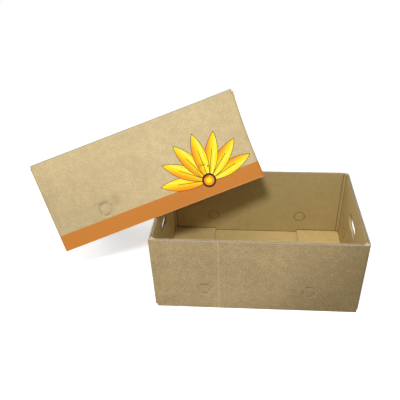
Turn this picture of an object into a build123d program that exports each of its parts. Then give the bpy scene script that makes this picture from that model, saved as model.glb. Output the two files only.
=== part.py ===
"""Banana box: an open base tray with its deep lid leaning on it.

Both are folded from one sheet of corrugated board each. The frame has its origin at the
middle of the tray's underside, +X along the tray's length, +Y to its back, +Z up.
"""
from build123d import *
from math import hypot
import os

# Base tray, outside sizes
base_length = 500.0
base_width = 314.0
base_height = 213.0
base_board = 7.0
base_flap = 128.0

# Lid, which slides down over the tray
lid_board = 5.0
lid_slide_gap = 2.0
lid_lift = 3.0
lid_flap = 128.0

# Folds: inner radius, and the outer radius of the bottom folds, which are pressed flat
fold_inner_radius = 2.0
bottom_fold_radius = 3.0

# The creased strip across each inner upright corner, and its creases
base_strip = 7.0
lid_strip = 3.5
crease_radius = 1.1

# Slots between the flaps, and how far the end flaps stay clear of the long walls
slot_from_end = 4.0
end_flap_clearance = 1.5

# Glued lap that closes each sheet into a ring, inside on the tray and outside on the lid
lap_width = 35.0
lap_rim_gap = 14.0
lap_foot_gap = 3.0
lap_taper = 9.0

# Hand hole in each end wall, heights taken from the floor with the box closed
hand_hole_length = 78.0
hand_hole_width = 30.0
hand_hole_height = 145.0

# Vents, each a disc cut round but still held by nicks
vent_radius = 15.0
vent_slit = 1.0
vent_nick = 4.0
vent_height = 64.0
vent_from_middle_long = 126.0
vent_from_middle_end = 80.0

# How the lid lies: turned about Z, then tipped about its own Y and X
lid_turn = 13.9
lid_tip_along = -17.5
lid_tip_across = -28.2
seat_gap = 0.2

# Worked out
lid_length = base_length + 2 * (lid_slide_gap + lid_board)
lid_width = base_width + 2 * (lid_slide_gap + lid_board)
lid_height = base_height - lid_lift + 2 * lid_board


def block(x_range, y_range, z_range):
    """A box from its lowest and highest X, Y and Z."""
    sizes = [high - low for low, high in (x_range, y_range, z_range)]
    return Pos(x_range[0], y_range[0], z_range[0]) * Box(*sizes, align=Align.MIN)


def area(x_range, y_range):
    """A flat rectangle from its lowest and highest X and Y."""
    width, depth = x_range[1] - x_range[0], y_range[1] - y_range[0]
    return Pos(x_range[0], y_range[0]) * Rectangle(width, depth, align=Align.MIN)


def fold_section(board, flap):
    """Section of a bottom fold, then its flap. X runs inwards, Y upwards."""
    reach, radius = board + fold_inner_radius, bottom_fold_radius
    bend = area((0, reach), (0, reach)) - Pos(reach, reach) * Circle(fold_inner_radius)
    bend -= area((0, radius), (0, radius)) - Pos(radius, radius) * Circle(radius)
    return bend + area((reach, flap), (0, board))


def flap_pair(distance, inward, board, flap, half_width, lift):
    """A fold and flap under each of two facing walls, which stand at +-distance."""
    along = Vector(0, 0, 1).cross(inward)
    plane = Plane(origin=inward * -distance + Vector(0, 0, lift), x_dir=inward, z_dir=-along)
    one = extrude(plane * fold_section(board, flap), half_width, both=True)
    return one + Rot(0, 0, 180) * one


def corner_square(size, x, y, side_x, side_y):
    """A square with one corner at (x, y), which reaches from there along side_x and side_y."""
    return Pos(x + side_x * size / 2, y + side_y * size / 2) * Rectangle(size, size)


def lap_notch(length, board, lap_end, lap_outer):
    """Plan of what the lap's fold leaves open outside itself, at its corner."""
    radius = board + fold_inner_radius
    edge = lap_end * length / 2
    corner = corner_square(radius, edge, -lap_outer, -lap_end, 1)
    return corner - Pos(edge - lap_end * radius, radius - lap_outer) * Circle(radius)


def wall_ring(length, width, board, strip, lap_end, lap_outer):
    """Plan of the four walls, with rounded folds outside, and strips and creases inside.

    The corner with the lap is at the front and at lap_end (-1 left, +1 right). The long wall
    isn't folded there: it is cut off square, and the end wall folds into the lap beside it.
    """
    radius = board + fold_inner_radius
    in_x, in_y = length / 2 - board, width / 2 - board
    strip_ends = [(in_x - strip, in_y), (in_x, in_y - strip)]
    outline = []
    for side_x, side_y in ((1, 1), (1, -1), (-1, -1), (-1, 1)):
        ends = strip_ends if side_x * side_y > 0 else strip_ends[::-1]
        outline += [(side_x * x, side_y * y) for x, y in ends]
    inside = make_face(Polyline(*outline, close=True))
    creases = Sketch() + [Pos(x, y) * Circle(crease_radius) for x, y in outline]
    outside = RectangleRounded(length, width, radius)
    outside += corner_square(radius, lap_end * length / 2, -width / 2, -lap_end, 1)
    return outside - lap_notch(length, board, lap_end, lap_outer) - inside - creases


def lap_plate(length, height, board, lap_end, lap_outer):
    """The glued lap, from its fold to its tapered free end."""
    edge, tip = length / 2, length / 2 - board - lap_width
    low, high = 2 * board + lap_foot_gap, height - lap_rim_gap
    shape = Polyline(
        (edge, low), (edge, high), (tip, high - lap_taper), (tip, low + lap_taper), close=True,
    )
    wall = Plane(origin=(0, -lap_outer, 0), x_dir=(lap_end, 0, 0), z_dir=(0, -lap_end, 0))
    plate = extrude(wall * make_face(shape), board, dir=(0, 1, 0))
    return plate - extrude(lap_notch(length, board, lap_end, lap_outer), height)


def vent_slits(board):
    """Cutter for one vent on the XY plane: a thin ring that stops at four nicks."""
    ring = Circle(vent_radius + vent_slit / 2) - Circle(vent_radius - vent_slit / 2)
    reach = 2 * (vent_radius + vent_slit)
    for angle in (45, 135):
        ring -= Rot(0, 0, angle) * Rectangle(reach, vent_nick)
    return extrude(ring, board, both=True)


def long_wall_cuts(width, board, vent_z):
    """Vent cuts at the quarters of both long walls."""
    cuts = []
    for y in (-1, 1):
        for x in (-1, 1):
            place = Pos(x * vent_from_middle_long, y * (width - board) / 2, vent_z)
            cuts.append(place * Rot(90, 0, 0) * vent_slits(board))
    return cuts


def end_wall_cuts(length, board, vent_z, hole_z):
    """Vent cuts and the hand hole in both end walls."""
    hole = extrude(SlotOverall(hand_hole_length, hand_hole_width), board, both=True)
    cuts = []
    for x in (-1, 1):
        wall = Pos(x * (length - board) / 2, 0, 0) * Rot(0, 90, 0) * Rot(0, 0, 90)
        cuts.append(wall * Pos(0, hole_z, 0) * hole)
        cuts += [wall * Pos(y * vent_from_middle_end, vent_z, 0) * vent_slits(board) for y in (-1, 1)]
    return cuts


def folded_tray(length, width, height, board, flap, strip, vent_z, hole_z, lap_end, lap_inside):
    """One sheet folded into an open tray that stands on its flaps.

    The end flaps are folded first and lie one board up. The long flaps lie under them, and
    stop short of each other, which leaves an air gap in the middle.
    """
    radius = board + fold_inner_radius
    half_x, half_y = length / 2, width / 2
    end_half = half_y - board - end_flap_clearance
    lap_outer = half_y - board if lap_inside else half_y + board
    plan = wall_ring(length, width, board, strip, lap_end, lap_outer)
    tray = Pos(0, 0, radius) * extrude(plan, height - radius)
    for x in (-1, 1):
        foot = block((half_x - 2 * board, half_x + board), (-end_half, end_half), (0, board + radius))
        tray -= Rot(0, 0, 90 - 90 * x) * foot
    tray += flap_pair(half_y, Vector(0, 1, 0), board, flap, half_x - slot_from_end, 0)
    tray += flap_pair(half_x, Vector(1, 0, 0), board, flap, end_half, board)
    tray += lap_plate(length, height, board, lap_end, lap_outer)
    return tray - long_wall_cuts(width, board, vent_z) - end_wall_cuts(length, board, vent_z, hole_z)


def base_tray():
    """The open tray, as it stands. Its lap is inside, so that the lid slides past it."""
    return folded_tray(
        base_length, base_width, base_height, base_board, base_flap, base_strip,
        vent_height, hand_hole_height, lap_end=-1, lap_inside=True,
    )


def lid():
    """The lid, opening down, with the lowest outer corner of its front wall at the origin.

    Its vents and hand holes meet the tray's when the box is closed. Its lap is outside.
    """
    tray = folded_tray(
        lid_length, lid_width, lid_height, lid_board, lid_flap, lid_strip,
        lid_height - (vent_height - lid_lift),
        lid_height - (hand_hole_height - lid_lift),
        lap_end=1, lap_inside=False,
    )
    return Pos(lid_length / 2, lid_width / 2, lid_height) * Rot(180, 0, 0) * tray


def lid_place():
    """Where the lid comes to rest, on three points.

    Its back left corner stands on the floor. The inner lower edge of its front wall lies on
    the tray's left rim, and that of its right end wall lies on the tray's back rim.
    """
    turn = Rot(0, 0, lid_turn) * Rot(0, lid_tip_along, 0) * Rot(lid_tip_across, 0, 0)
    along, across = [(turn * Pos(*axis)).position for axis in ((1, 0, 0), (0, 1, 0))]
    rim = base_height + seat_gap
    corner = lid_board + fold_inner_radius
    drop = corner * hypot(along.Z, across.Z)
    up = drop - corner * along.Z - (lid_width - corner) * across.Z
    front_reach = (rim - up - lid_board * across.Z) / along.Z
    x = -base_length / 2 - lid_board * across.X - front_reach * along.X
    end_line = lid_length - lid_board
    back_reach = (rim - up - end_line * along.Z) / across.Z
    y = base_width / 2 - end_line * along.Y - back_reach * across.Y
    return Pos(x, y, up) * turn


nodes = {"base_tray": base_tray(), "lid": lid_place() * lid()}

os.makedirs("parts", exist_ok=True)
for name, solid in nodes.items():
    export_step(solid, f"parts/{name}.step")
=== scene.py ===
"""Looks of the banana box: two folded sheets of corrugated board.

Lengths are in metres. Each sheet is dressed in its own frame: X along its length, Y inwards
from its front wall, Z up its walls, with the lowest outer corner at the origin.
"""
import bmesh
import bpy
import random
from math import cos, pi, radians, sin
from mathutils import Matrix, Vector, noise


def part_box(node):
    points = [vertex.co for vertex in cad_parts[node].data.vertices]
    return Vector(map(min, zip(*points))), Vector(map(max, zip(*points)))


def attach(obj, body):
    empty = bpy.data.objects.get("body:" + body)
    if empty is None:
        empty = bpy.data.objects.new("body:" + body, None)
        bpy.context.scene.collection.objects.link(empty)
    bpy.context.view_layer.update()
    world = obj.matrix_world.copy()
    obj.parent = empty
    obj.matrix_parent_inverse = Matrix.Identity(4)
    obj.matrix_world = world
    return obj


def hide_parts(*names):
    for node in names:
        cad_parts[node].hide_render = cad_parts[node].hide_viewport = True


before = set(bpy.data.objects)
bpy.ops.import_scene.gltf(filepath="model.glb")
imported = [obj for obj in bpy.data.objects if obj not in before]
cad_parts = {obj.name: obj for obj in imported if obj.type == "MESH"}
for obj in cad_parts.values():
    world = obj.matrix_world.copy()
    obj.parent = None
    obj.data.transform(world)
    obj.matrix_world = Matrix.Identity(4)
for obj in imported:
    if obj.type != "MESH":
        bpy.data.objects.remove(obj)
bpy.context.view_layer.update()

mm = 0.001

# Board, as in the solids
tray_board = 7 * mm
lid_board = 5 * mm
tray_strip = 7 * mm
lid_strip = 3.5 * mm
flap = 128 * mm
fold_inner_radius = 2 * mm
slot_from_end = 4 * mm
end_flap_clearance = 1.5 * mm
vent_radius = 15 * mm
vent_height = 64 * mm
vent_from_middle_long = 126 * mm
vent_from_middle_end = 80 * mm
lid_lift = 3 * mm

# How the lid lies, in degrees
lid_turn = 13.9
lid_tip_along = -17.5
lid_tip_across = -28.2

# Cut edges: liners, the fluted sheet between them, and how deep the flutes are modelled
liner = 0.55 * mm
medium = 0.35 * mm
flute_depth = 4 * mm
flute_recess = 0.25 * mm
crushed_depth = 0.9 * mm
tray_flute_pitches = (3.3 * mm, 7.4 * mm)
lid_flute_pitches = (6.4 * mm,)
steps_per_flute = 8

# Meshing
weld = 0.002 * mm
cut_tolerance = weld / 10
touch = 0.02 * mm
grid = 10 * mm
grid_offset = 4.7 * mm
flat_below = radians(0.3)
smooth_below = radians(38)

# Telling the faces apart: shares of the board's thickness, and of a normal of length 1
outer_part = 0.6
level_slack = 0.1
facing = 0.5
lying_flat = 0.7

# How far apart the noise of the paper is taken for the six sides of a sheet
side_spacing = 0.7

# Material indices of a sheet
OUTSIDE, INSIDE, CUT = 0, 1, 2


class Sheet:
    """One folded sheet: its CAD node, its own frame, and the sizes read from its solid.

    An outside lap lies behind the back wall, and the width is taken without it.
    """

    def __init__(self, node, turn, board, strip, opens_up, lap_outside, pitches):
        self.node = node
        self.board = board
        self.strip = strip
        self.opens_up = opens_up
        self.pitches = pitches
        points = [turn.transposed() @ v.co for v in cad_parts[node].data.vertices]
        low, high = [Vector([f(p[i] for p in points) for i in range(3)]) for f in (min, max)]
        self.place = Matrix.Translation(turn @ low) @ turn.to_4x4()
        self.length, self.width, self.height = high - low
        if lap_outside:
            self.width -= board

    def depth(self, z):
        """How far a point lies from the rim, towards the flaps."""
        return self.height - z if self.opens_up else z

    def z_at(self, depth):
        return self.height - depth if self.opens_up else depth

    def from_floor(self, z):
        """How far a point lies from the outer side of the long flaps."""
        return self.height - self.depth(z)

    def from_walls(self, p):
        """How far a point lies from the nearer end and from the nearer side, both outside."""
        return min(p.x, self.length - p.x), min(p.y, self.width - p.y)

    def in_corner(self, p):
        """True in the upright corners, as far as the creased strips reach."""
        return max(self.from_walls(p)) < self.board + self.strip + touch

    @property
    def into(self):
        """Direction from the rim towards the flaps."""
        return Vector((0, 0, -1 if self.opens_up else 1))


def lid_axes():
    turn = Matrix.Rotation(radians(lid_turn), 3, "Z")
    turn = turn @ Matrix.Rotation(radians(lid_tip_along), 3, "Y")
    return turn @ Matrix.Rotation(radians(lid_tip_across), 3, "X")


tray = Sheet("base_tray", Matrix.Identity(3), tray_board, tray_strip, opens_up=True,
             lap_outside=False, pitches=tray_flute_pitches)
lid = Sheet("lid", lid_axes(), lid_board, lid_strip, opens_up=False,
            lap_outside=True, pitches=lid_flute_pitches)


def vents(sheet):
    """Middle of each vent in the sheet's frame, with the axis that its wall faces."""
    z = vent_height if sheet.opens_up else vent_height - lid_lift
    found = []
    for side in (-1, 1):
        for y in (0, sheet.width):
            found.append((Vector((sheet.length / 2 + side * vent_from_middle_long, y, z)), 1))
        for x in (0, sheet.length):
            found.append((Vector((x, sheet.width / 2 + side * vent_from_middle_end, z)), 0))
    return found


def is_outer(sheet, centre, normal):
    """True on the side of the board that faces out of the box."""
    outer = sheet.board * outer_part
    from_floor = sheet.from_floor(centre.z)
    end_flap_underside = sheet.board * (1 + level_slack)
    facing_out = normal.dot(sheet.into) > facing
    beside = min(sheet.from_walls(centre)) < outer
    return beside or from_floor < outer or (from_floor < end_flap_underside and facing_out)


def cut_faces(mesh, sheet):
    """Groups of faces where the board was cut straight: the rim, and the ends of the flaps."""
    flap_ends = [(1, flap), (1, sheet.width - flap), (0, flap), (0, sheet.length - flap)]
    groups = [[] for _ in range(1 + len(flap_ends))]
    for face in mesh.faces:
        points = [v.co for v in face.verts]
        if all(sheet.depth(p.z) < touch for p in points):
            groups[0].append(face)
        for group, (axis, end) in zip(groups[1:], flap_ends):
            if all(abs(p[axis] - end) < touch for p in points):
                group.append(face)
    return [group for group in groups if group]


def open_edges(mesh, sheet):
    """Sinks the middle of each cut edge between its two liners, where the flutes go.

    The first inset leaves the liners, and the second, of no width, becomes the side walls.
    """
    for faces in cut_faces(mesh, sheet):
        down = -faces[0].normal * flute_depth
        rim = bmesh.ops.inset_region(mesh, faces=faces, thickness=liner, use_even_offset=True,
                                     use_boundary=True)
        walls = bmesh.ops.inset_region(mesh, faces=faces, thickness=0, use_boundary=True)
        bmesh.ops.translate(mesh, verts=list({v for f in faces for v in f.verts}), vec=down)
        for face in faces + rim["faces"] + walls["faces"]:
            face.material_index = CUT


def divide(mesh, sheet):
    """Cuts the mesh on an even grid, so that it can bend, and merges what lies flat between."""
    for axis, size in enumerate((sheet.length, sheet.width + sheet.board, sheet.height)):
        for k in range(int(size / grid) + 1):
            point, normal = Vector(), Vector()
            point[axis] = grid_offset + k * grid
            normal[axis] = 1
            everything = mesh.verts[:] + mesh.edges[:] + mesh.faces[:]
            cut = bmesh.ops.bisect_plane(mesh, geom=everything, plane_co=point, plane_no=normal,
                                         dist=cut_tolerance)
            for item in cut["geom_cut"]:
                if isinstance(item, bmesh.types.BMEdge):
                    item.seam = True
    bmesh.ops.dissolve_limit(mesh, angle_limit=flat_below, verts=mesh.verts, edges=mesh.edges,
                             delimit={"SEAM", "MATERIAL"})
    bmesh.ops.triangulate(mesh, faces=[f for f in mesh.faces if len(f.verts) > 4])


def crush_corners(mesh, sheet):
    """Raises the sunk middle of the rim at the upright corners, where folds crush the flutes."""
    for vertex in mesh.verts:
        p = vertex.co
        if abs(sheet.depth(p.z) - flute_depth) < touch and sheet.in_corner(p):
            p.z = sheet.z_at(crushed_depth)


def ribbon(mesh, stations, across, deep, thickness, recess):
    """A thin strip that stands in a cut edge, closed all round."""
    section = ((-0.5, recess), (0.5, recess), (0.5, flute_depth), (-0.5, flute_depth))
    rings = []
    for point in stations:
        ring = []
        for side, down in section:
            ring.append(mesh.verts.new(point + across * side * thickness + deep * down))
        rings.append(ring)
    for first, second in zip(rings, rings[1:]):
        for i in range(4):
            j = (i + 1) % 4
            mesh.faces.new((first[i], first[j], second[j], second[i])).material_index = CUT
    for end in (rings[0][::-1], rings[-1]):
        mesh.faces.new(end).material_index = CUT


def fluted_edge(mesh, sheet, start, along, length, across, deep):
    """The flutes in one straight cut edge. across runs inwards through the board, deep into it.

    Fine flutes lie under the outer liner of double board, and coarse, higher ones under the
    inner, with a flat liner between.
    """
    room = sheet.board - liner * (len(sheet.pitches) + 1)
    level = liner
    for pitch in sheet.pitches:
        layer_height = room * pitch ** 0.5 / sum(p ** 0.5 for p in sheet.pitches)
        swing = (layer_height - medium) / 2
        count = int(length / pitch * steps_per_flute)
        phase = random.uniform(0, 2 * pi)
        stations = []
        for k in range(count + 1):
            run = length * k / count
            wave = swing * sin(2 * pi * run / pitch + phase)
            stations.append(start + along * run + across * (level + layer_height / 2 + wave))
        ribbon(mesh, stations, across, deep, medium, flute_recess)
        level += layer_height
        if pitch != sheet.pitches[-1]:
            count = int(length / grid)
            middle = start + across * (level + liner / 2)
            flat = [middle + along * length * k / count for k in range(count + 1)]
            ribbon(mesh, flat, across, deep, liner, 0)
            level += liner


def add_flutes(mesh, sheet):
    """Flutes along the rim of the four walls and the free ends of the four flaps."""
    corner = sheet.board + fold_inner_radius
    x, y = Vector((1, 0, 0)), Vector((0, 1, 0))
    length, width, into, out = sheet.length, sheet.width, sheet.into, -sheet.into
    rim = sheet.z_at(0)
    long_run, end_run = length - 2 * corner, width - 2 * corner
    fluted_edge(mesh, sheet, Vector((corner, 0, rim)), x, long_run, y, into)
    fluted_edge(mesh, sheet, Vector((corner, width, rim)), x, long_run, -y, into)
    fluted_edge(mesh, sheet, Vector((0, corner, rim)), y, end_run, x, into)
    fluted_edge(mesh, sheet, Vector((length, corner, rim)), y, end_run, -x, into)
    floor, above = sheet.z_at(sheet.height), sheet.z_at(sheet.height - sheet.board)
    inset = slot_from_end + liner
    long_flap = length - 2 * inset
    fluted_edge(mesh, sheet, Vector((inset, flap, floor)), x, long_flap, out, -y)
    fluted_edge(mesh, sheet, Vector((inset, width - flap, floor)), x, long_flap, out, y)
    inset = sheet.board + end_flap_clearance + liner
    end_flap = width - 2 * inset
    fluted_edge(mesh, sheet, Vector((flap, inset, above)), y, end_flap, out, -x)
    fluted_edge(mesh, sheet, Vector((length - flap, inset, above)), y, end_flap, out, x)


# How far the board has gone out of true: bows of the long walls and of the end walls
bows = {"base_tray": (0.6 * mm, 1.0 * mm), "lid": (0.8 * mm, 2.0 * mm)}
bow_power = 1.3
bow_reach_in_boards = 3
lid_right_edge_bow = 3.6 * mm
right_edge_power = 6
lid_rack_left = 1.4 * mm
lid_rack_right = -1.2 * mm
flap_lift = 1.4 * mm
flap_lift_power = 3
ripple = 0.25 * mm
ripple_scale = 14.0
ripple_upwards = 0.4

# How much of each vent's slit stays open on the two sides of the board, and where slits are
vent_open_outside = 0.08
vent_open_inside = 0.3
vent_slit_reach = 1 * mm
vent_reach_in_boards = 1.2


def arch(share):
    """0 at both ends of a span, and 1 in its middle."""
    return 4 * share * (1 - share)


def bow(sheet, p):
    """Walls lean inwards a little between their corners, most at the rim."""
    long_bow, end_bow = bows[sheet.node]
    u, v = p.x / sheet.length, p.y / sheet.width
    free = max(0.0, 1 - sheet.depth(p.z) / sheet.height) ** bow_power
    from_end, from_side = sheet.from_walls(p)
    shift = Vector()
    if from_side <= bow_reach_in_boards * sheet.board:
        shift.y = long_bow * arch(u) * free * (1 if v < 0.5 else -1)
    if from_end <= bow_reach_in_boards * sheet.board:
        shift.x = end_bow * arch(v) * free * (1 if u < 0.5 else -1)
    return shift


def close_vents(sheet, points):
    """Narrows the slit round each vent to a knife cut."""
    for centre, axis in vents(sheet):
        for p in points:
            if abs(p[axis] - centre[axis]) > vent_reach_in_boards * sheet.board:
                continue
            arm = p - centre
            outside = abs(arm[axis]) < sheet.board / 2
            still_open = vent_open_outside if outside else vent_open_inside
            arm[axis] = 0
            if abs(arm.length - vent_radius) < vent_slit_reach:
                new_length = vent_radius + (arm.length - vent_radius) * still_open
                p += arm * (new_length / arm.length - 1)


def end_flap_vertices(mesh, sheet):
    """Vertices of the two end flaps, found from the faces at their level."""
    slack = level_slack / 2
    found = set()
    for face in mesh.faces:
        centre = face.calc_center_median()
        reach, side = sheet.from_walls(centre)
        outer_side = face.normal.dot(sheet.into) > facing
        low = sheet.board * (1 - slack if outer_side else 1 + slack)
        at_level = low < sheet.from_floor(centre.z) < (2 + slack) * sheet.board
        clear_of_side = side > sheet.board + end_flap_clearance - touch
        if at_level and reach < flap + touch and clear_of_side:
            found.update(v.index for v in face.verts)
    return found


def lift_flaps(sheet, p):
    """The free ends of the end flaps stand a little proud of the long flaps."""
    level = sheet.from_floor(p.z) / sheet.board
    reach, side = sheet.from_walls(p)
    at_level = 1 - level_slack < level < 2 + level_slack
    on_flap = reach <= flap + touch and side >= sheet.board + end_flap_clearance - touch
    under_edge = level < 1 + level_slack and reach > flap
    if not at_level or not on_flap or under_edge:
        return Vector()
    return -sheet.into * flap_lift * max(0.0, reach / flap) ** flap_lift_power


def unevenness(sheet, p):
    """Slow waves in the board, other ones in each sheet, weaker along Z."""
    own_place = Vector((sheet.board / mm, 0, 0))
    wave = noise.noise_vector(p * ripple_scale + own_place)
    wave.z *= ripple_upwards
    return wave * ripple


def bend(mesh, sheet):
    """Takes the sheet out of true."""
    on_end_flaps = end_flap_vertices(mesh, sheet)
    for vertex in mesh.verts:
        p = vertex.co
        shift = bow(sheet, p) + unevenness(sheet, p)
        if vertex.index in on_end_flaps:
            shift += lift_flaps(sheet, p)
        if sheet is lid:
            u, w = p.x / lid.length, p.z / lid.height
            rack = lid_rack_left * (1 - u) + lid_rack_right * u
            shift.z += rack * w * (1 - p.y / lid.width)
            shift.x -= lid_right_edge_bow * arch(w) * max(0.0, u) ** right_edge_power
        vertex.co = p + shift


def sunk(sheet, p):
    """How deep a point lies in its cut edge, or 0 in the corners, where flutes are crushed."""
    if sheet.in_corner(p):
        return 0.0
    if sheet.depth(p.z) < 2 * flute_depth:
        return sheet.depth(p.z)
    ends = (p.x - flap, sheet.length - flap - p.x, p.y - flap, sheet.width - flap - p.y)
    return min(abs(end) for end in ends)


def grain_of(sheet, polygon, places):
    """For each corner: how far across the flutes it lies, how far along, and on which side."""
    n = polygon.normal
    faces_x = abs(n.x) > abs(n.y)
    side = (1 if n.x > 0 else 2) if faces_x else (3 if n.y > 0 else 4)
    flat = abs(n.z) > lying_flat
    if flat:
        # The end flaps lie one board further in than the long flaps
        inner = n.dot(sheet.into) < 0
        centre = sum((places[i] for i in polygon.vertices), Vector()) / len(polygon.vertices)
        faces_x = sheet.from_floor(centre.z) > sheet.board * (1.5 if inner else 0.5)
        side = 5 + int(inner)
    values = []
    for i in polygon.vertices:
        p = places[i]
        run = p.y if faces_x else p.x
        along = p.z
        if flat:
            along += p.x if faces_x else p.y
        values += [run, along, side * side_spacing]
    return values


def write_attributes(data, sheet, places):
    """Where each point lay on the true sheet, how deep in a cut, and which way the flutes run."""
    sunk_at = data.attributes.new("sunk", "FLOAT", "POINT")
    sunk_at.data.foreach_set("value", [sunk(sheet, p) for p in places])
    board_at = data.attributes.new("board", "FLOAT_VECTOR", "POINT")
    board_at.data.foreach_set("vector", [c for p in places for c in p])
    grain = data.attributes.new("grain", "FLOAT_VECTOR", "CORNER")
    values = [value for polygon in data.polygons for value in grain_of(sheet, polygon, places)]
    grain.data.foreach_set("vector", values)


def dress(sheet, name, materials):
    """Builds the sheet's own mesh from its solid and puts it in the solid's place."""
    mesh = bmesh.new()
    mesh.from_mesh(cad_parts[sheet.node].data)
    mesh.transform(sheet.place.inverted())
    bmesh.ops.remove_doubles(mesh, verts=mesh.verts, dist=weld)
    mesh.normal_update()
    for face in mesh.faces:
        outer = is_outer(sheet, face.calc_center_median(), face.normal)
        face.material_index = OUTSIDE if outer else INSIDE
    open_edges(mesh, sheet)
    divide(mesh, sheet)
    crush_corners(mesh, sheet)
    close_vents(sheet, [v.co for v in mesh.verts])
    add_flutes(mesh, sheet)
    bmesh.ops.recalc_face_normals(mesh, faces=mesh.faces)
    mesh.verts.index_update()
    places = [v.co.copy() for v in mesh.verts]
    bend(mesh, sheet)
    data = bpy.data.meshes.new(name)
    mesh.to_mesh(data)
    mesh.free()
    obj = bpy.data.objects.new(name, data)
    bpy.context.scene.collection.objects.link(obj)
    write_attributes(data, sheet, places)
    data.transform(sheet.place)
    # What is bent past the solid's box comes back to its faces
    low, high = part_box(sheet.node)
    for vertex in data.vertices:
        vertex.co = [min(max(c, a), b) for c, a, b in zip(vertex.co, low, high)]
    data.polygons.foreach_set("use_smooth", [True] * len(data.polygons))
    data.set_sharp_from_angle(angle=smooth_below)
    for material in materials:
        data.materials.append(material)
    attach(obj, "root")
    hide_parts(sheet.node)


def ink(red, green, blue):
    """A colour given as it shows on a screen, 0 to 255, by the screen's own curve."""
    linear = []
    for value in (red, green, blue):
        share = value / 255
        linear.append(share / 12.92 if share <= 0.04045 else ((share + 0.055) / 1.055) ** 2.4)
    return (*linear, 1.0)


class Shader:
    """The nodes of a new material, or of a tree that is given. Most calls return a socket."""

    def __init__(self, name, tree=None):
        if tree is None:
            self.material = bpy.data.materials.new(name)
            self.material.use_nodes = True
            tree = self.material.node_tree
        self.tree = tree
        self.tree.nodes.clear()

    def node(self, kind, inputs, **settings):
        node = self.tree.nodes.new(kind)
        for key, value in settings.items():
            setattr(node, key, value)
        for key, value in inputs.items():
            self.feed(node.inputs[key], value)
        return node

    def feed(self, socket, value):
        if isinstance(value, bpy.types.NodeSocket):
            self.tree.links.new(value, socket)
        else:
            socket.default_value = value

    def attribute(self, name, output="Vector"):
        return self.node("ShaderNodeAttribute", {}, attribute_name=name).outputs[output]

    def parts(self, vector):
        return self.node("ShaderNodeSeparateXYZ", {"Vector": vector}).outputs

    def math(self, operation, *values):
        inputs = dict(enumerate(values))
        return self.node("ShaderNodeMath", inputs, operation=operation).outputs[0]

    def vector(self, operation, *values):
        inputs = dict(enumerate(values))
        node = self.node("ShaderNodeVectorMath", inputs, operation=operation)
        scalar = operation in ("LENGTH", "DOT_PRODUCT")
        return node.outputs["Value" if scalar else "Vector"]

    def apart(self, value, place):
        """How far a number is from place, either way."""
        return self.math("ABSOLUTE", self.math("SUBTRACT", value, place))

    def reach(self, vector, place):
        """How far a point is from place."""
        return self.vector("LENGTH", self.vector("SUBTRACT", vector, place))

    def noise(self, vector, scale, detail, roughness=0.5):
        inputs = {"Vector": vector, "Scale": scale, "Detail": detail, "Roughness": roughness}
        return self.node("ShaderNodeTexNoise", inputs).outputs["Fac"]

    def between(self, value, low, high, to_low=0.0, to_high=1.0, smooth=True):
        """value taken from the range low..high to the range to_low..to_high."""
        inputs = {"Value": value, "From Min": low, "From Max": high,
                  "To Min": to_low, "To Max": to_high}
        kind = "SMOOTHSTEP" if smooth else "LINEAR"
        return self.node("ShaderNodeMapRange", inputs, interpolation_type=kind).outputs["Result"]

    def fading(self, value, near, far, share=1.0):
        """share where value is under near, and nothing where it is past far."""
        return self.between(value, near, far, share, 0.0)

    def varied(self, noise_value, swing, low=0.3, high=0.7):
        """A factor about 1. Most of the noise lies between low and high."""
        return self.between(noise_value, low, high, 1 - swing, 1 + swing)

    def mix(self, share, first, second):
        """Inputs 6 and 7 and output 2 are the Mix node's colour sockets."""
        node = self.node("ShaderNodeMix", {"Factor": share, 6: first, 7: second}, data_type="RGBA")
        return node.outputs[2]

    def scale(self, colour, share):
        """colour times a number."""
        colour = colour[:3] if isinstance(colour, tuple) else colour
        node = self.node("ShaderNodeVectorMath", {0: colour, "Scale": share}, operation="SCALE")
        return node.outputs["Vector"]

    def finish(self, colour, height, roughness, bump):
        relief = self.node("ShaderNodeBump", {"Height": height, "Strength": 1.0, "Distance": bump})
        surface = self.node("ShaderNodeBsdfPrincipled", {
            "Base Color": colour, "Roughness": roughness, "Specular IOR Level": paper_specular,
            "Normal": relief.outputs["Normal"],
        })
        self.node("ShaderNodeOutputMaterial", {"Surface": surface.outputs["BSDF"]})
        return self.material


# Colours of the bare board
tray_kraft = ink(181, 158, 116)
tray_inside_kraft = ink(187, 165, 112)
lid_kraft = ink(203, 181, 135)
lid_inside_kraft = ink(190, 168, 120)
tray_cut_kraft = ink(212, 197, 164)
lid_cut_kraft = ink(206, 186, 146)

# Kraft paper: noise cells to the metre, and what the noise, the specks and the flutes do
cloud_scale = 11.0
blotch_scale = 55.0
mottle_scale = 240.0
fibre_scale = 1300.0
speck_scale = 600.0
fibre_stretch = (1.0, 0.35, 1.0)
fibre_swing = 0.08
speck_noise = (0.66, 0.78)
speck_tone = 0.7
flute_tones = (0.98, 1.015)
flute_height = 0.35
paper_specular = 0.25
board_roughness = 0.9
board_bump = 0.12 * mm

# Painted light along the slits round the vents: highlight and shade outside, the slit's shadow
# inside
ring_width = 0.6 * mm
ring_fade = 1.5 * mm
ring_through_board = 0.35
ring_light_from = (0.5, 0.5, -1.0)
ring_painted_highlight = ink(232, 212, 172)
ring_painted_shade = ink(164, 142, 104)
ring_painted_slit_shadow = ink(92, 68, 38)
outside_ring_share = 0.34
inside_ring_share = 0.62

# Painted shade of the inner side, in the creases and along the foot of the walls, and painted
# light on the floor and the end walls
painted_shade_brown = ink(84, 64, 34)
corner_crease_shade = (0.8 * mm, 2.2 * mm)
corner_crease_shade_share = 0.5
foot_rise = 1.7 * mm
foot_shade_line = (0.4 * foot_rise, 0.85 * foot_rise)
foot_shade_share = 0.75
step_width = 1 * mm
flap_painted_light = (1.25, 1.6)
flap_painted_light_from_to = (0.2, 0.8)
end_wall_painted_light = 1.2
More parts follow.
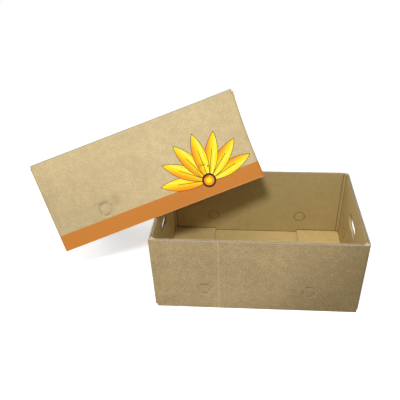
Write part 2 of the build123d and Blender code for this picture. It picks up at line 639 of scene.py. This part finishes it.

# Marks on the tray's outside, and painted shade towards its front right foot and along its foot
# fold
front_skin = (2 * mm, 4 * mm)
front_crease_from_left = 159 * mm
front_crease = (0.5 * mm, 1.6 * mm)
front_crease_share = 0.3
crease_pale = ink(232, 214, 172)
front_painted_shade = (0.61, 0.6, 0.53)
front_shade_towards = (1.0, -0.9, -0.6)
front_shade_from_to = (0.3, 0.9)
foot_fold_shade = (0.5 * mm, 4 * mm)
foot_fold_shade_share = 0.3

# Cut paper, with painted shade down in the sunk flutes
cut_scale = 420.0
cut_noise = (0.25, 0.75)
cut_tones = (0.75, 1.12)
sunk_shade_depths = (0.5 * mm, 2.5 * mm)
sunk_shade_tone = 0.35
fuzz_scale = 1500.0
cut_roughness = 0.95
cut_bump = 0.2 * mm


def kraft(shader, colour, sheet, cloudiness, graininess):
    """Kraft paper over flutes. Returns its colour and its height, both as sockets."""
    board, grain = shader.attribute("board"), shader.attribute("grain")
    tone = shader.varied(shader.noise(board, cloud_scale, detail=4.0), cloudiness)
    blotch = shader.varied(shader.noise(board, blotch_scale, detail=3.0), cloudiness)
    mottle_noise = shader.noise(grain, mottle_scale, detail=4.0, roughness=0.7)
    mottle = shader.varied(mottle_noise, graininess, low=0.25, high=0.75)
    stretched = shader.vector("MULTIPLY", grain, fibre_stretch)
    fibre_noise = shader.noise(stretched, fibre_scale, detail=3.0, roughness=0.65)
    fibre = shader.varied(fibre_noise, fibre_swing)
    specks = shader.noise(stretched, speck_scale, detail=1.0)
    speck = shader.between(specks, *speck_noise, 1.0, speck_tone)
    across = shader.parts(grain)[0]
    wave = shader.math("SINE", shader.math("MULTIPLY", across, 2 * pi / sheet.pitches[0]))
    flutes = shader.between(wave, -1, 1, *flute_tones, smooth=False)
    for factor in (blotch, mottle, fibre, speck, flutes):
        tone = shader.math("MULTIPLY", tone, factor)
    height = shader.math("ADD", shader.math("MULTIPLY", wave, flute_height), fibre_noise)
    return shader.scale(colour, tone), height


def vent_painted_light(shader, colour, sheet, share, paint, shaded_paint):
    """Painted light along the slit round each vent, on both sides of the board: paint on the side
    where light falls, shaded_paint on the other.
    """
    board = shader.attribute("board")
    for centre, axis in vents(sheet):
        squeeze = [1.0, 1.0, 1.0]
        squeeze[axis] = ring_through_board
        from_centre = shader.vector("SUBTRACT", board, tuple(centre))
        arm = shader.vector("MULTIPLY", from_centre, tuple(squeeze))
        off = shader.apart(shader.vector("LENGTH", arm), vent_radius)
        mark = shader.fading(off, ring_width, ring_fade, share)
        lean = shader.vector("DOT_PRODUCT", arm, ring_light_from)
        lit = shader.between(lean, -vent_radius / 2, vent_radius / 2)
        colour = shader.mix(mark, colour, shader.mix(lit, shaded_paint, paint))
    return colour


def crease_painted_shade(shader, colour, sheet):
    """Painted shade in the two creases beside the strip in each inner upright corner."""
    board = shader.attribute("board")
    inner, strip = sheet.board, sheet.strip
    for x, side_x in ((inner, 1), (sheet.length - inner, -1)):
        for y, side_y in ((inner, 1), (sheet.width - inner, -1)):
            for point in ((x + side_x * strip, y, 0), (x, y + side_y * strip, 0)):
                arm = shader.vector("SUBTRACT", board, point)
                arm = shader.vector("MULTIPLY", arm, (1, 1, 0))
                off = shader.vector("LENGTH", arm)
                mark = shader.fading(off, *corner_crease_shade, corner_crease_shade_share)
                colour = shader.mix(mark, colour, painted_shade_brown)
    return colour


def outside_board(name, colour, sheet):
    """The tray's outside, with painted shade towards the front right foot and along the foot fold,
    and one faint light crease.
    """
    shader = Shader(name)
    painted, height = kraft(shader, colour, sheet, cloudiness=0.06, graininess=0.26)
    # Painted highlight and painted shade along the vent slits
    painted = vent_painted_light(shader, painted, sheet, outside_ring_share, ring_painted_highlight, ring_painted_shade)
    board = shader.attribute("board")
    x, y, z = shader.parts(board)
    off = shader.apart(x, front_crease_from_left)
    line = shader.fading(off, *front_crease, front_crease_share)
    on_front = shader.fading(y, *front_skin)
    painted = shader.mix(shader.math("MULTIPLY", line, on_front), painted, crease_pale)
    # Painted shade, darker and warmer towards the front right foot
    towards_corner = shader.vector("DOT_PRODUCT", board, front_shade_towards)
    near, far = [share * sheet.length for share in front_shade_from_to]
    painted_shade = shader.between(towards_corner, near, far)
    painted = shader.mix(painted_shade, painted, shader.vector("MULTIPLY", painted, front_painted_shade))
    # Painted shade along the fold at the foot of the walls
    painted = shader.mix(shader.fading(z, *foot_fold_shade, foot_fold_shade_share), painted, painted_shade_brown)
    return shader.finish(painted, height, board_roughness, board_bump)


def inside_board(name, colour, sheet):
    """The inner side, with painted light: the floor lighter than the walls, least so to the left,
    and the end walls lighter; painted shade in the creases and along the foot of the walls.
    """
    shader = Shader(name)
    x, _, z = shader.parts(shader.attribute("board"))
    from_floor = z if sheet.opens_up else shader.math("SUBTRACT", sheet.height, z)
    half, board = sheet.length / 2, sheet.board
    flap_end = half - flap
    from_middle = shader.apart(x, half)
    floor = shader.between(from_middle, flap_end - step_width, flap_end, board, 2 * board)
    above_floor = shader.math("SUBTRACT", from_floor, floor)
    on_end_wall = shader.between(from_middle, half - board - step_width, half - board)
    left, right = [share * sheet.length for share in flap_painted_light_from_to]
    # Painted light on the floor, weaker towards the left
    painted_light_along_x = shader.between(x, left, right, *flap_painted_light)
    floor_painted_light = shader.between(above_floor, 0.0, step_width, painted_light_along_x, 1.0)
    painted, height = kraft(shader, colour, sheet, cloudiness=0.03, graininess=0.08)
    painted = shader.scale(painted, floor_painted_light)
    # Painted light on the inner side of the end walls
    painted = shader.mix(on_end_wall, painted, shader.scale(painted, end_wall_painted_light))
    # Painted shadow of the vent slits
    painted = vent_painted_light(shader, painted, sheet, inside_ring_share, ring_painted_slit_shadow, ring_painted_slit_shadow)
    # Painted shade in the corner creases
    painted = crease_painted_shade(shader, painted, sheet)
    # Painted shadow along the foot of the walls, just above the floor
    foot = shader.fading(shader.apart(above_floor, foot_rise), *foot_shade_line, foot_shade_share)
    painted = shader.mix(foot, painted, painted_shade_brown)
    return shader.finish(painted, height, board_roughness, board_bump)


def cut_board(name, colour):
    """Rough cut paper, with painted shade down between the flutes."""
    shader = Shader(name)
    board = shader.attribute("board")
    patches = shader.noise(board, cut_scale, detail=3.0, roughness=0.6)
    tone = shader.between(patches, *cut_noise, *cut_tones)
    # Painted shade, darker deeper in the cut edge
    sunk_shade = shader.between(shader.attribute("sunk", "Fac"), *sunk_shade_depths, 1.0, sunk_shade_tone)
    fuzz = shader.noise(board, fuzz_scale, detail=2.0)
    painted = shader.scale(colour, shader.math("MULTIPLY", tone, sunk_shade))
    return shader.finish(painted, fuzz, cut_roughness, cut_bump)


# Print on the lid: a plain band, and a fan of leaves on the front
band_height = 39.5 * mm
band_orange = ink(198, 124, 46)
band_worn = ink(232, 176, 112)
band_wear = (0.6 * mm, 2.2 * mm)
band_wear_share = 0.45
ink_soft = 0.3 * mm
ink_wander = 0.5 * mm
ink_wander_scale = 700.0
ink_scale = 300.0
ink_swing = 0.04
print_skin = (2.5 * mm, 3.5 * mm)
print_roughness = 0.6
print_bump = 0.1 * mm
leaf_yellow = ink(255, 226, 0)
leaf_pale = ink(255, 244, 120)
leaf_orange = ink(250, 150, 10)
line_brown = ink(62, 26, 14)
line_width = 1.2 * mm
fan_foot = (387 * mm, 38 * mm, 0)
fan_angles = (12, 38, 64, 90, 116, 142, 168)
bud_radius = 17 * mm
bud_rings = ((1.0, line_brown), (0.72, leaf_orange), (0.4, leaf_yellow))

# One leaf: its size, its shading across its width, and the line down its middle
leaf_length = 118 * mm
leaf_width = 33 * mm
leaf_shadow = (-0.1 * leaf_width, 0.42 * leaf_width)
leaf_light_off = -0.2 * leaf_width
leaf_light_width = 0.12 * leaf_width
leaf_light_share = 0.6
vein_ends = (0.62 * leaf_length, 0.66 * leaf_length)
vein_line = (0.35 * mm, 0.9 * mm)

# Marks on the lid's outside: painted shade towards the lower left and along the top fold, and a
# smudge
lid_shade_towards = (-0.6, 0.0, -1.0)
lid_shade_from_to = (-250 * mm, -90 * mm)
lid_painted_shade_tone = 0.86
smudge_place = (161 * mm, 0, 77 * mm)
smudge_size = (3 * mm, 22 * mm)
smudge_share = 0.35
smudge_brown = ink(150, 128, 92)
top_fold_painted_shade = ink(172, 166, 150)
fold_below_top = (4 * mm, 2 * mm)
top_fold_shade_share = 0.8


def leaf(shader, colour, flat, angle):
    """One long leaf: a lens between two arcs, with a dark line round it and down its middle."""
    along, beside = (cos(angle), sin(angle), 0), (-sin(angle), cos(angle), 0)
    arm = shader.vector("SUBTRACT", flat, fan_foot)
    u = shader.vector("DOT_PRODUCT", arm, along)
    v = shader.vector("DOT_PRODUCT", arm, beside)
    from_vein = shader.math("ABSOLUTE", v)
    radius = (leaf_length ** 2 + leaf_width ** 2) / (4 * leaf_width)
    centre_off = shader.math("ADD", from_vein, radius - leaf_width / 2)
    from_middle = shader.math("SUBTRACT", u, leaf_length / 2)
    point = shader.node("ShaderNodeCombineXYZ", {"X": from_middle, "Y": centre_off}).outputs[0]
    inside = shader.math("SUBTRACT", radius, shader.vector("LENGTH", point))
    whole = shader.between(inside, -ink_soft, ink_soft)
    field = shader.between(inside, line_width - ink_soft, line_width + ink_soft)
    shadow = shader.between(v, *leaf_shadow)
    light = shader.fading(shader.apart(v, leaf_light_off), 0, leaf_light_width, leaf_light_share)
    vein = shader.fading(from_vein, *vein_line)
    vein = shader.math("MULTIPLY", vein, shader.fading(u, *vein_ends))
    fill = shader.mix(shadow, leaf_yellow, leaf_orange)
    fill = shader.mix(light, fill, leaf_pale)
    fill = shader.mix(vein, fill, line_brown)
    colour = shader.mix(whole, colour, line_brown)
    return shader.mix(field, colour, fill)


def fan(shader, colour, flat):
    """Leaves that grow out of a bud on the band, the outer ones behind."""
    for angle in sorted(fan_angles, key=lambda a: -abs(a - 90)):
        colour = leaf(shader, colour, flat, radians(angle))
    reach = shader.reach(flat, fan_foot)
    for share, paint in bud_rings:
        edge = share * bud_radius
        colour = shader.mix(shader.fading(reach, edge - ink_soft, edge + ink_soft), colour, paint)
    return colour


def printed_board(name, colour, sheet):
    """The lid's outside: pale kraft with painted shade towards the lower left and along the top
    fold, a flat band round the rim and a fan on the front.
    """
    shader = Shader(name)
    painted, height = kraft(shader, colour, sheet, cloudiness=0.05, graininess=0.12)
    # Painted highlight and painted shade along the vent slits
    painted = vent_painted_light(shader, painted, sheet, outside_ring_share, ring_painted_highlight, ring_painted_shade)
    board = shader.attribute("board")
    x, y, z = shader.parts(board)
    on_front = shader.fading(y, *print_skin)
    # Painted shade, darker towards the lower left
    towards_corner = shader.vector("DOT_PRODUCT", board, lid_shade_towards)
    painted_shade = shader.between(towards_corner, *lid_shade_from_to, 1.0, lid_painted_shade_tone)
    painted = shader.scale(painted, painted_shade)
    smudge = shader.fading(shader.reach(board, smudge_place), *smudge_size, smudge_share)
    painted = shader.mix(smudge, painted, smudge_brown)
    # Painted shade along the top fold's curve
    fold_low, fold_high = [sheet.height - below for below in fold_below_top]
    fold = shader.between(z, fold_low, fold_high, 0.0, top_fold_shade_share)
    painted = shader.mix(shader.math("MULTIPLY", fold, on_front), painted, top_fold_painted_shade)
    edge_noise = shader.noise(board, ink_wander_scale, detail=2.0)
    wander = shader.between(edge_noise, 0, 1, -ink_wander, ink_wander, smooth=False)
    x_ink, z_ink = shader.math("ADD", x, wander), shader.math("ADD", z, wander)
    in_band = shader.fading(z_ink, band_height - ink_soft, band_height + ink_soft)
    printed = shader.mix(in_band, painted, band_orange)
    printed = shader.mix(shader.fading(z_ink, *band_wear, band_wear_share), printed, band_worn)
    flat = shader.node("ShaderNodeCombineXYZ", {"X": x_ink, "Y": z_ink}).outputs[0]
    printed = shader.mix(on_front, printed, fan(shader, printed, flat))
    tone = shader.varied(shader.noise(board, ink_scale, detail=3.0), ink_swing)
    return shader.finish(shader.scale(printed, tone), height, print_roughness, print_bump)


seed = 7
random.seed(seed)
noise.seed_set(seed)

tray_materials = [
    outside_board("tray_kraft_outside", tray_kraft, tray),
    inside_board("tray_kraft_inside", tray_inside_kraft, tray),
    cut_board("tray_cut_edge", tray_cut_kraft),
]
lid_materials = [
    printed_board("lid_print", lid_kraft, lid),
    inside_board("lid_kraft_inside", lid_inside_kraft, lid),
    cut_board("lid_cut_edge", lid_cut_kraft),
]
dress(tray, "tray_board", tray_materials)
dress(lid, "lid_board", lid_materials)

# Camera, found from the photograph's corners: degrees, millimetres of lens and sensor
camera_place = (-24.1 * mm, -966.3 * mm, 884.1 * mm)
camera_turn = (55.566, 0.779, 3.358)
camera_lens = 42.08
camera_sensor = 36.0
camera_shift = -0.0557
camera_sees_from = 0.05
camera_sees_to = 50.0


def add_camera():
    data = bpy.data.cameras.new("camera")
    data.sensor_fit = "HORIZONTAL"
    data.sensor_width = camera_sensor
    data.lens = camera_lens
    data.shift_x = camera_shift
    data.clip_start = camera_sees_from
    data.clip_end = camera_sees_to
    camera = bpy.data.objects.new("camera", data)
    bpy.context.scene.collection.objects.link(camera)
    camera.location = camera_place
    camera.rotation_euler = [radians(a) for a in camera_turn]
    bpy.context.scene.camera = camera


# Soft plain light: a pale sky, brighter overhead and at the sides, most at the left, and a lamp
sky_low = 0.08
sky_high = 0.42
sky_low_at = -0.1
sky_side = 0.95
sky_lean = 0.5
lamp_place = (-186 * mm, -1306 * mm, 1649 * mm)
lamp_target = (0, 0, 150 * mm)
lamp_size = 216 * mm
lamp_power = 22.5

# White floor, a disc that ends where it is still white
floor_middle = (-120 * mm, 60 * mm, 0)
floor_radius = 1150 * mm
floor_corners = 96
floor_white = 0.94
floor_grey_elsewhere = 0.45
floor_glow = 0.6


def seen_as_background(shader):
    """1 on rays that show the background: from the camera, off gloss and through glass."""
    path = shader.node("ShaderNodeLightPath", {}).outputs
    straight = shader.math("MAXIMUM", path["Is Camera Ray"], path["Is Glossy Ray"])
    return shader.math("MAXIMUM", straight, path["Is Transmission Ray"])


def add_floor():
    """A floor that shows as white, and that keeps the shadow."""
    bpy.ops.mesh.primitive_circle_add(vertices=floor_corners, radius=floor_radius,
                                      fill_type="NGON", location=floor_middle)
    floor = bpy.context.object
    floor.name = "floor"
    shader = Shader("floor_white")
    seen = seen_as_background(shader)
    white = shader.between(seen, 0, 1, floor_grey_elsewhere, floor_white)
    matt = shader.node("ShaderNodeBsdfDiffuse", {"Color": white})
    strength = shader.math("MULTIPLY", seen, floor_glow)
    glow = shader.node("ShaderNodeEmission", {"Strength": strength})
    both = shader.node("ShaderNodeAddShader", {0: matt.outputs[0], 1: glow.outputs[0]})
    shader.node("ShaderNodeOutputMaterial", {"Surface": both.outputs[0]})
    floor.data.materials.append(shader.material)


def add_world():
    """White to the camera, to glossy and to transmitted rays, and a pale sky to all others."""
    world = bpy.data.worlds.new("pale")
    bpy.context.scene.world = world
    world.use_nodes = True
    shader = Shader("sky", world.node_tree)
    seen = seen_as_background(shader)
    side, _, up = shader.parts(shader.node("ShaderNodeTexCoord", {}).outputs["Generated"])
    leaning = shader.math("SUBTRACT", 1.0, shader.math("MULTIPLY", side, sky_lean))
    sides = shader.math("MULTIPLY", shader.math("MULTIPLY", side, side), sky_side)
    sides = shader.math("MULTIPLY", sides, leaning)
    sky = shader.math("ADD", shader.between(up, sky_low_at, 1.0, sky_low, sky_high), sides)
    strength = shader.node("ShaderNodeMix", {0: seen, 2: sky, 3: 1.0}, data_type="FLOAT")
    inputs = {"Color": (1, 1, 1, 1), "Strength": strength.outputs[0]}
    background = shader.node("ShaderNodeBackground", inputs)
    shader.node("ShaderNodeOutputWorld", {"Surface": background.outputs[0]})


def add_lamp():
    data = bpy.data.lights.new("lamp", "AREA")
    data.shape = "DISK"
    data.size = lamp_size
    data.energy = lamp_power
    lamp = bpy.data.objects.new("lamp", data)
    bpy.context.scene.collection.objects.link(lamp)
    lamp.location = lamp_place
    towards = Vector(lamp_place) - Vector(lamp_target)
    lamp.rotation_euler = towards.to_track_quat("Z", "Y").to_euler()


add_camera()
add_floor()
add_world()
add_lamp()
bpy.context.scene.view_settings.view_transform = "Standard"

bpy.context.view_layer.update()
